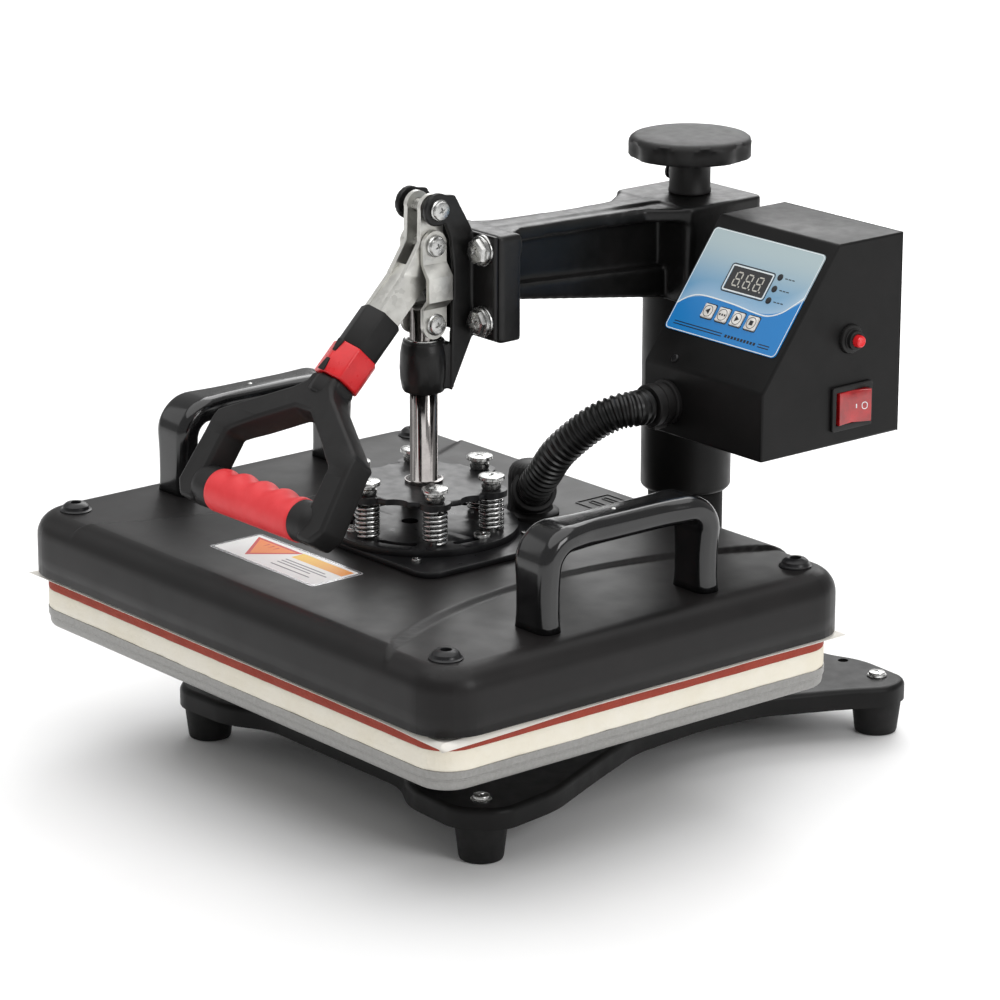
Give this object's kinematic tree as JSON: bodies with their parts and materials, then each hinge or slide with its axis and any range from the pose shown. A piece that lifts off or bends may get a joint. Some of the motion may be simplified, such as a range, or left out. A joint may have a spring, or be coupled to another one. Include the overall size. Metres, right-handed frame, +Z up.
{
  "type": "heat press",
  "caption": "Swing-away heat press: a toggle lever clamps a sprung heated platen onto a padded lower platen; column arm with a digital control box.",
  "frame": {"origin": "on the bench, under the middle of the whole press", "axes": "+X to the operator's right, +Y from the operator back to the column, +Z up"},
  "size_m": [0.395, 0.413, 0.35],
  "materials": {
    "black_powder_coat": "satin",
    "rubber": "matte",
    "zinc_steel": "zinc plated",
    "lever_steel": "zinc plated, brushed",
    "chrome": "polished",
    "silver_paint": "satin",
    "felt_foam": "open felt",
    "silicone_rubber": "matte",
    "release_cloth": "coated glass cloth",
    "bronze": "machined",
    "moulded_black": "moulded",
    "gloss_black": "glossy",
    "red_plastic": "moulded",
    "red_grip": "moulded grip",
    "printed_film": "printed film",
    "smoked_window": "glossy",
    "key_white": "moulded",
    "circuit_green": "laminate",
    "cast_aluminium": "machined casting",
    "heater_sheath": "oxidised",
    "glass_wool": "fibrous"
  },
  "bodies": {
    "base": {"base_plate": "black_powder_coat", "rubber_feet": "rubber", "base_screws": "zinc_steel", "column_post": "black_powder_coat", "platen_pedestal": "black_powder_coat", "lower_platen": "silver_paint", "foam_pad": "felt_foam", "silicone_pad": "silicone_rubber", "release_sheet": "release_cloth"},
    "lift": {"lift_bearing": "zinc_steel"},
    "arm": {"sleeve_tube": "black_powder_coat", "sleeve_bushes": "bronze", "arm_casting": "black_powder_coat", "toggle_frame": "black_powder_coat", "frame_bolts": "zinc_steel", "pivot_pin_top": "zinc_steel", "box_bracket": "black_powder_coat", "box_screws": "zinc_steel", "control_box_shell": "black_powder_coat", "control_box_back": "black_powder_coat", "panel_overlay": "printed_film", "display_module": "smoked_window", "indicator_lamps": "smoked_window", "circuit_board": "circuit_green", "breaker_body": "moulded_black", "switch_frame": "moulded_black", "power_inlet": "moulded_black", "conduit_gland": "moulded_black", "conduit_hose": "moulded_black"},
    "knob": {"pressure_knob": "moulded_black", "knob_set_screw": "moulded_black", "lead_screw": "zinc_steel"},
    "key_back": {"key_back": "key_white"},
    "key_set": {"key_set": "key_white"},
    "key_next": {"key_next": "key_white"},
    "key_stop": {"key_stop": "key_white"},
    "breaker_button": {"breaker_button": "red_plastic"},
    "switch_rocker": {"switch_rocker": "red_plastic"},
    "lever": {"lever_plates": "lever_steel", "pivot_pin_middle": "zinc_steel", "handle_socket": "moulded_black", "handle_collar": "red_plastic", "handle_frame": "moulded_black", "handle_grip": "red_grip"},
    "link": {"link_plates": "lever_steel", "link_rivets": "zinc_steel"},
    "plunger": {"plunger_shaft": "chrome", "star_plate": "black_powder_coat"},
    "head": {"springs": "chrome", "spring_bolts": "chrome", "round_plate": "black_powder_coat", "square_plate": "black_powder_coat", "head_screws": "zinc_steel", "cover_shell": "black_powder_coat", "cover_posts": "zinc_steel", "carry_handles": "gloss_black", "insulation": "glass_wool", "heating_platen": "cast_aluminium", "heating_element": "heater_sheath", "conduit_elbow": "moulded_black"}
  },
  "joints": [
    {"name": "arm_lift", "type": "slide", "parent": "base", "child": "lift", "axis": [0, 0, 1], "range_m": [0, 0.006]},
    {"name": "arm_swing", "type": "hinge", "parent": "lift", "child": "arm", "pos_m": [0, 0.141, 0.296], "axis": [0, 0, 1], "range_deg": [-110, 110]},
    {"name": "knob_turn", "type": "hinge", "parent": "arm", "child": "knob", "pos_m": [0, 0.141, 0.34], "axis": [0, 0, 1], "range_deg": [0, 1080]},
    {"name": "lever_hinge", "type": "hinge", "parent": "arm", "child": "lever", "pos_m": [0, -0.06, 0.3357], "axis": [-1, 0, 0], "range_deg": [0, 90]},
    {"name": "link_hinge", "type": "hinge", "parent": "lever", "child": "link", "pos_m": [0, -0.06, 0.3146], "axis": [-1, 0, 0], "range_deg": [-118, 0]},
    {"name": "plunger_slide", "type": "slide", "parent": "arm", "child": "plunger", "axis": [0, 0, 1], "range_m": [0, 0.0264], "deforming": ["conduit_hose"]},
    {"name": "head_float", "type": "slide", "parent": "plunger", "child": "head", "axis": [0, 0, 1], "range_m": [0, 0.004], "stiffness_N_per_m": 20000, "deforming": ["springs"]},
    {"name": "power_switch", "type": "hinge", "parent": "arm", "child": "switch_rocker", "pos_m": [0.153, 0.1255, 0.2205], "axis": [0, 0, 1], "range_deg": [0, 15]},
    {"name": "breaker_push", "type": "slide", "parent": "arm", "child": "breaker_button", "axis": [1, 0, 0], "range_m": [-0.002, 0], "stiffness_N_per_m": 800},
    {"name": "key_back_press", "type": "slide", "parent": "arm", "child": "key_back", "axis": [0, -0.8056, 0.5925], "range_m": [-0.0008, 0], "stiffness_N_per_m": 600},
    {"name": "key_set_press", "type": "slide", "parent": "arm", "child": "key_set", "axis": [0, -0.8056, 0.5925], "range_m": [-0.0008, 0], "stiffness_N_per_m": 600},
    {"name": "key_next_press", "type": "slide", "parent": "arm", "child": "key_next", "axis": [0, -0.8056, 0.5925], "range_m": [-0.0008, 0], "stiffness_N_per_m": 600},
    {"name": "key_stop_press", "type": "slide", "parent": "arm", "child": "key_stop", "axis": [0, -0.8056, 0.5925], "range_m": [-0.0008, 0], "stiffness_N_per_m": 600}
  ],
  "couplings": [
    {"joint": "knob_turn", "follows": "arm_lift", "rad_per_m": 3141.3},
    {"joint": "link_hinge", "follows": "lever_hinge", "ratio": -1.3085},
    {"joint": "plunger_slide", "follows": "lever_hinge", "m_per_rad": 0.016752}
  ]
}
